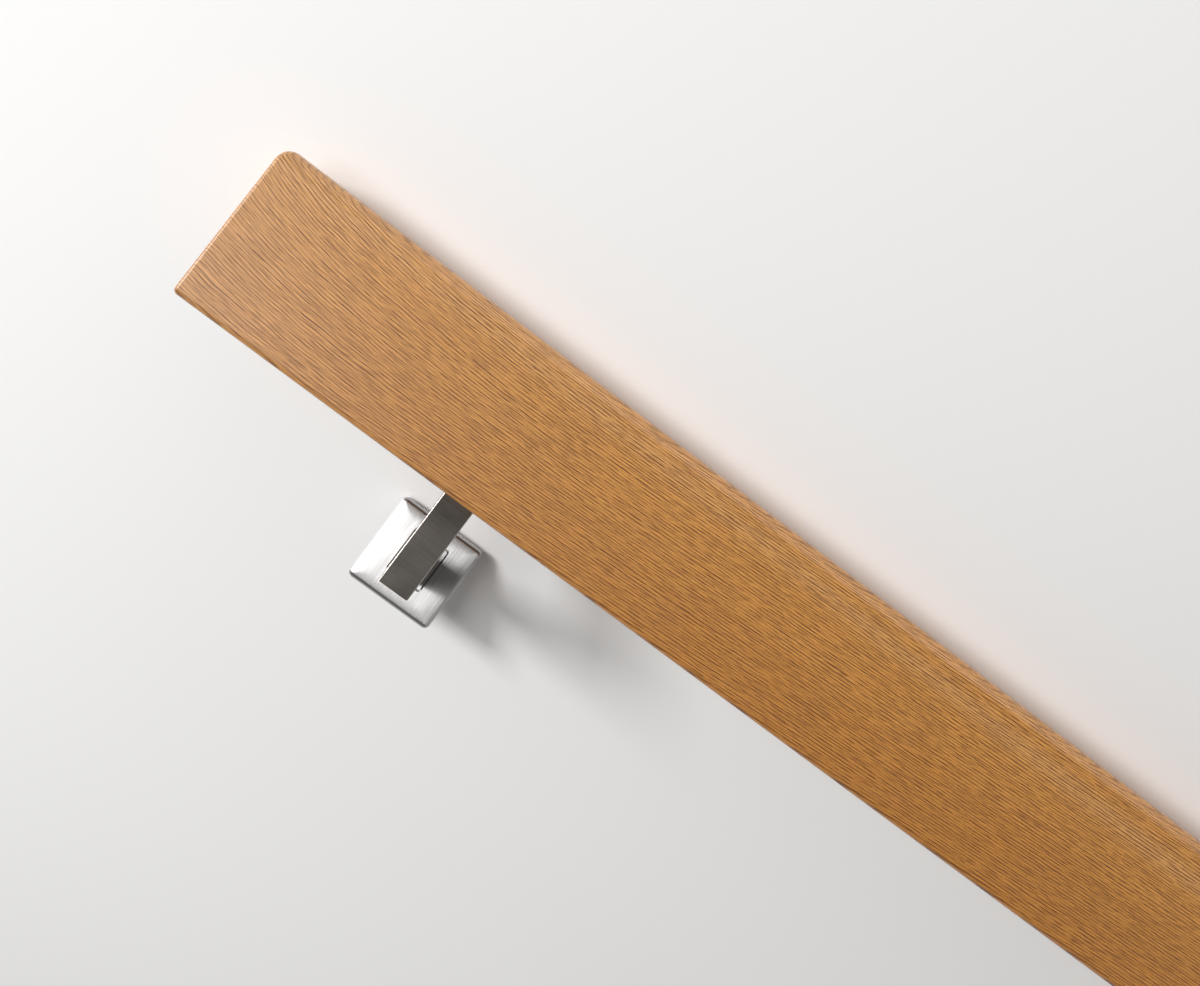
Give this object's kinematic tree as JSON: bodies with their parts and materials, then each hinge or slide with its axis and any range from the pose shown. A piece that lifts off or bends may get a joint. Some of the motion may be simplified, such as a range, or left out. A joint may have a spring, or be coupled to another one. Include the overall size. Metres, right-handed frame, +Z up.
{
  "type": "wall handrail length",
  "caption": "Straight oak stair handrail of upright rectangular section with rounded top edges, carried on square satin-steel wall brackets with slotted square roses.",
  "frame": {"origin": "on the floor, midway along the rail and midway across the part's outline as it lies", "axes": "+X along the rail, +Z up, -Y towards the side the rail's front face leans to; the wall plane of the roses is turned about X by 29.98 degrees from the floor"},
  "size_m": [2.4, 0.1696, 0.0858],
  "materials": {
    "oak": "oiled oak with open pores",
    "steel": "satin brushed stainless steel",
    "bolt_steel": "bright zinc plated steel"
  },
  "bodies": {
    "root": {"handrail": "oak", "bracket_1_wall_plate": "steel", "bracket_1_rose_cover": "steel", "bracket_1_arm": "steel", "bracket_1_hanger_bolt": "bolt_steel", "bracket_2_wall_plate": "steel", "bracket_2_rose_cover": "steel", "bracket_2_arm": "steel", "bracket_2_hanger_bolt": "bolt_steel", "bracket_3_wall_plate": "steel", "bracket_3_rose_cover": "steel", "bracket_3_arm": "steel", "bracket_3_hanger_bolt": "bolt_steel"}
  },
  "joints": []
}
